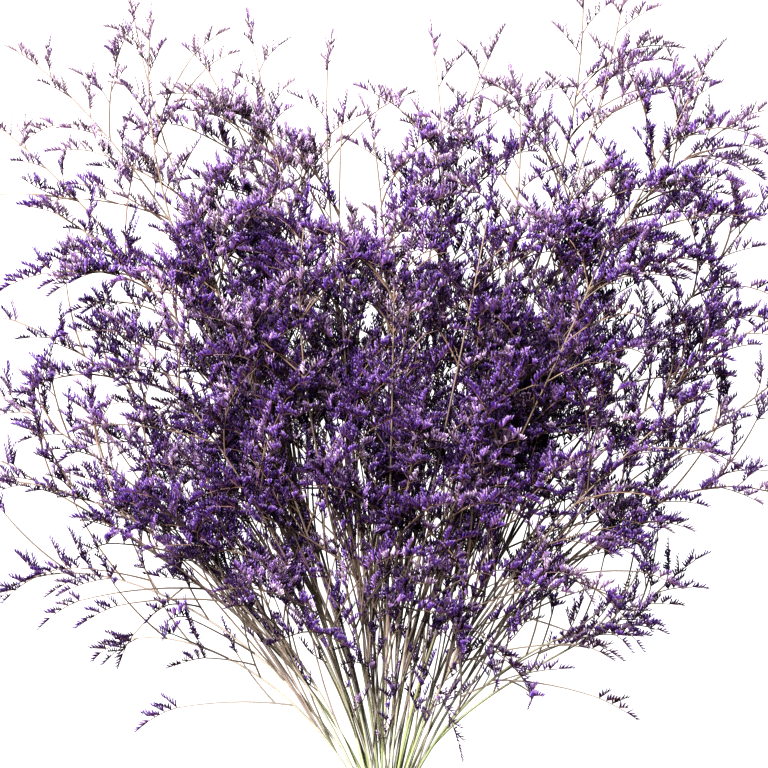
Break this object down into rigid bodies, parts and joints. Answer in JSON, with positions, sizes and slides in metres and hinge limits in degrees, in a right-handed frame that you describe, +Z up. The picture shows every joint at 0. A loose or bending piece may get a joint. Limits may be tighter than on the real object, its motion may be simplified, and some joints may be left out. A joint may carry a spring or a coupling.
{
  "type": "bunch of dried statice",
  "caption": "Bunch of dried violet statice, fine-branched stems held by an elastic band, lying on its side as a fan of tiny florets.",
  "frame": {"origin": "on the surface that the bunch lies on, under the middle of its bounding box", "axes": "+Z up from the surface, +Y from the cut ends of the stems towards the flowering tips, +X to the right when looking down on it"},
  "size_m": [0.6449, 0.752, 0.1602],
  "materials": {
    "dried_spray": "matt, dyed violet, dry",
    "elastic_band": "satin, undyed"
  },
  "bodies": {
    "root": {"spray_01": "dried_spray", "spray_02": "dried_spray", "spray_03": "dried_spray", "spray_04": "dried_spray", "spray_05": "dried_spray", "spray_06": "dried_spray", "spray_07": "dried_spray", "spray_08": "dried_spray", "spray_09": "dried_spray", "spray_10": "dried_spray", "spray_11": "dried_spray", "spray_12": "dried_spray", "spray_13": "dried_spray", "spray_14": "dried_spray", "spray_15": "dried_spray", "spray_16": "dried_spray", "spray_17": "dried_spray", "spray_18": "dried_spray", "spray_19": "dried_spray", "spray_20": "dried_spray", "spray_21": "dried_spray", "spray_22": "dried_spray", "spray_23": "dried_spray", "spray_24": "dried_spray", "spray_25": "dried_spray", "spray_26": "dried_spray", "spray_27": "dried_spray", "spray_28": "dried_spray", "spray_29": "dried_spray", "spray_30": "dried_spray", "spray_31": "dried_spray", "spray_32": "dried_spray", "spray_33": "dried_spray", "spray_34": "dried_spray", "spray_35": "dried_spray", "spray_36": "dried_spray", "band": "elastic_band"}
  },
  "joints": []
}
